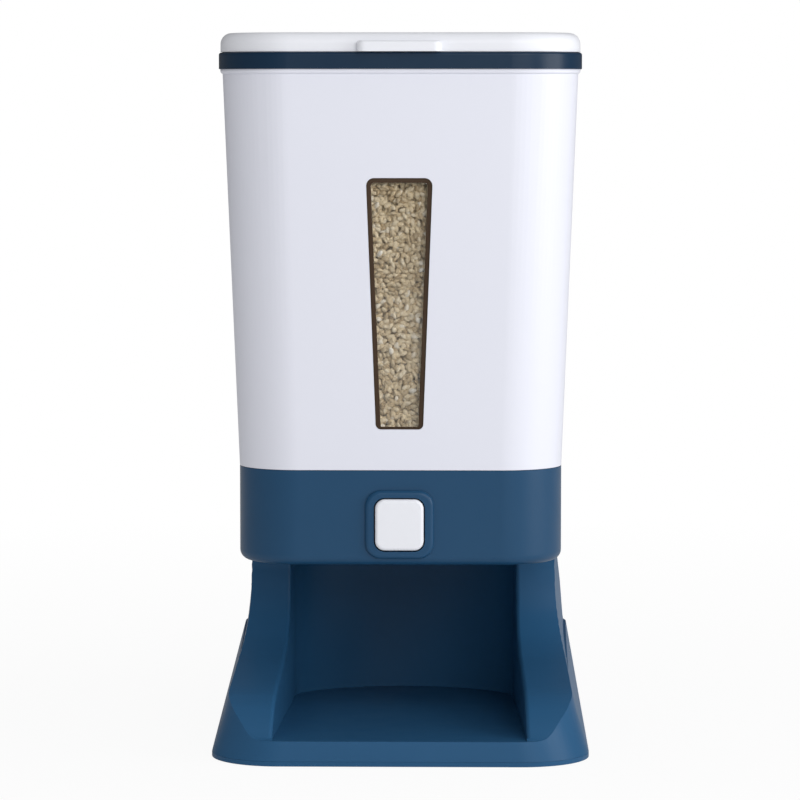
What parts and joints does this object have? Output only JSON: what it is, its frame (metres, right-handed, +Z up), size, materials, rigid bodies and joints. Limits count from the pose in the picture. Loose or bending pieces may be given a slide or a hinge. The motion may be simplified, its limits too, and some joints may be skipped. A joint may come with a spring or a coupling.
{
  "type": "rice dispenser",
  "caption": "Upright press-button rice dispenser: tapered white bin with a sight window and flip lid, over a navy housing and a flared stand with an open bay for a cup.",
  "frame": {"origin": "centre of the footprint, on the surface it stands on", "axes": "+Z up, front with the button and bay towards -Y, +X to the right seen from the front"},
  "size_m": [0.2094, 0.274, 0.4],
  "materials": {
    "white_shell": "satin",
    "navy_shell": "satin",
    "inner_plastic": "natural",
    "steel": "zinc plated",
    "rubber": "matte",
    "silicone": "translucent",
    "window_seal": "matte",
    "window_panel": "clear",
    "rice": "loose polished grains"
  },
  "bodies": {
    "dispenser": {"stand": "navy_shell", "base_plate": "navy_shell", "base_screws": "steel", "rubber_feet": "rubber", "housing_screws": "steel", "dispensing_housing": "navy_shell", "left_return_spring": "steel", "right_return_spring": "steel", "metering_chamber": "inner_plastic", "chamber_screws": "steel", "axle_bushes": "inner_plastic", "outlet_chute": "inner_plastic", "bin_body": "white_shell", "window_seal": "window_seal", "window_panel": "window_panel", "hopper": "inner_plastic", "rice_fill": "rice", "collar": "navy_shell", "hinge_pins": "steel"},
    "lid_body": {"lid": "white_shell", "lid_seal": "silicone"},
    "button_body": {"push_button": "white_shell", "drive_yoke": "inner_plastic", "yoke_screws": "steel"},
    "drum_body": {"metering_drum": "inner_plastic", "drum_axle": "steel", "axle_clips": "steel", "left_pinion": "inner_plastic", "right_pinion": "inner_plastic"}
  },
  "joints": [
    {"name": "lid_hinge", "type": "hinge", "parent": "dispenser", "child": "lid_body", "pos_m": [0, 0.1325, 0.3925], "axis": [-1, 0, 0], "range_deg": [0, 100]},
    {"name": "button_press", "type": "slide", "parent": "dispenser", "child": "button_body", "axis": [0, 1, 0], "range_m": [0, 0.012], "deforming": ["left_return_spring", "right_return_spring"]},
    {"name": "drum_turn", "type": "hinge", "parent": "dispenser", "child": "drum_body", "pos_m": [0, -0.063, 0.135], "axis": [-1, 0, 0], "range_deg": [0, 114.5], "stiffness_Nm_per_rad": 0.009, "springref_deg": -114.59}
  ],
  "couplings": [
    {"joint": "button_press", "follows": "drum_turn", "m_per_rad": 0.006}
  ]
}
